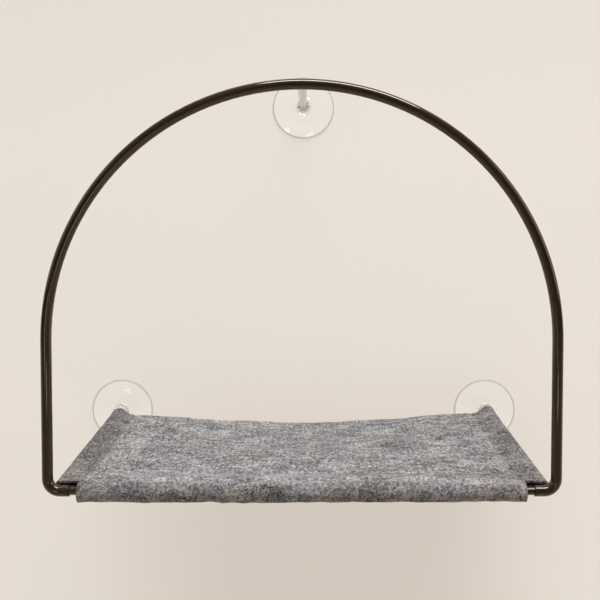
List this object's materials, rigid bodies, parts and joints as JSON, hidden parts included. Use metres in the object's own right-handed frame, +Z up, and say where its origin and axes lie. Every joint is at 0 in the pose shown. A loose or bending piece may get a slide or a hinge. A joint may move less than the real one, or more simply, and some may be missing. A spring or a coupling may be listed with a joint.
{
  "type": "window mounted cat perch",
  "caption": "Cat perch for a window: felt sling seat on a bent rod frame, tube arch folding about the front rod, clear stay and suction cups with lobed nuts.",
  "frame": {"origin": "on the glass plane, midway between the lower cups and level with their axes", "axes": "+X to the right as seen from the room, +Y into the glass, +Z up"},
  "size_m": [0.63, 0.3097, 0.539],
  "materials": {
    "painted_tube": "satin dark bronze paint",
    "painted_rod": "satin dark bronze paint",
    "black_nylon": "moulded",
    "grey_felt": "needled felt",
    "plated_steel": "zinc plated",
    "clear_acrylic": "clear moulded",
    "clear_tube": "clear extruded",
    "clear_cup": "clear soft vinyl",
    "steel_cable": "stranded"
  },
  "bodies": {
    "seat": {"seat_frame": "painted_rod", "front_rod": "painted_rod", "bar_clip_left": "black_nylon", "bar_clip_middle": "black_nylon", "bar_clip_right": "black_nylon", "felt_sling": "grey_felt"},
    "arch": {"arch_tube": "painted_tube", "arch_bush_left": "black_nylon", "arch_bush_right": "black_nylon", "apex_insert": "plated_steel", "apex_stud": "plated_steel"},
    "stay": {"stay_front_ferrule": "clear_acrylic", "stay_sheath": "clear_tube", "stay_core": "steel_cable", "stay_wall_ferrule": "clear_acrylic"},
    "cup_lower_left": {"lower_left_cup": "clear_cup", "lower_left_stud": "clear_acrylic"},
    "nut_lower_left": {"lower_left_nut": "clear_acrylic"},
    "cup_lower_right": {"lower_right_cup": "clear_cup", "lower_right_stud": "clear_acrylic"},
    "nut_lower_right": {"lower_right_nut": "clear_acrylic"},
    "cup_top": {"top_cup": "clear_cup", "top_stud": "clear_acrylic"},
    "nut_top": {"top_nut": "clear_acrylic"}
  },
  "joints": [
    {"name": "arch_fold", "type": "hinge", "parent": "seat", "child": "arch", "pos_m": [0, -0.3, 0], "axis": [1, 0, 0], "range_deg": [0, 90]},
    {"name": "stay_turn", "type": "hinge", "parent": "arch", "child": "stay", "pos_m": [0, -0.15, 0.449], "axis": [0, 1, 0], "continuous": true},
    {"name": "lower_left_cup_turn", "type": "hinge", "parent": "seat", "child": "cup_lower_left", "pos_m": [-0.27, -0.02, 0], "axis": [0, 1, 0], "continuous": true},
    {"name": "lower_left_nut_turn", "type": "hinge", "parent": "cup_lower_left", "child": "nut_lower_left", "pos_m": [-0.27, -0.026, 0], "axis": [0, 1, 0], "continuous": true},
    {"name": "lower_right_cup_turn", "type": "hinge", "parent": "seat", "child": "cup_lower_right", "pos_m": [0.27, -0.02, 0], "axis": [0, 1, 0], "continuous": true},
    {"name": "lower_right_nut_turn", "type": "hinge", "parent": "cup_lower_right", "child": "nut_lower_right", "pos_m": [0.27, -0.026, 0], "axis": [0, 1, 0], "continuous": true},
    {"name": "top_cup_turn", "type": "hinge", "parent": "stay", "child": "cup_top", "pos_m": [0, -0.02, 0.449], "axis": [0, 1, 0], "continuous": true},
    {"name": "top_nut_turn", "type": "hinge", "parent": "cup_top", "child": "nut_top", "pos_m": [0, -0.026, 0.449], "axis": [0, 1, 0], "continuous": true}
  ]
}
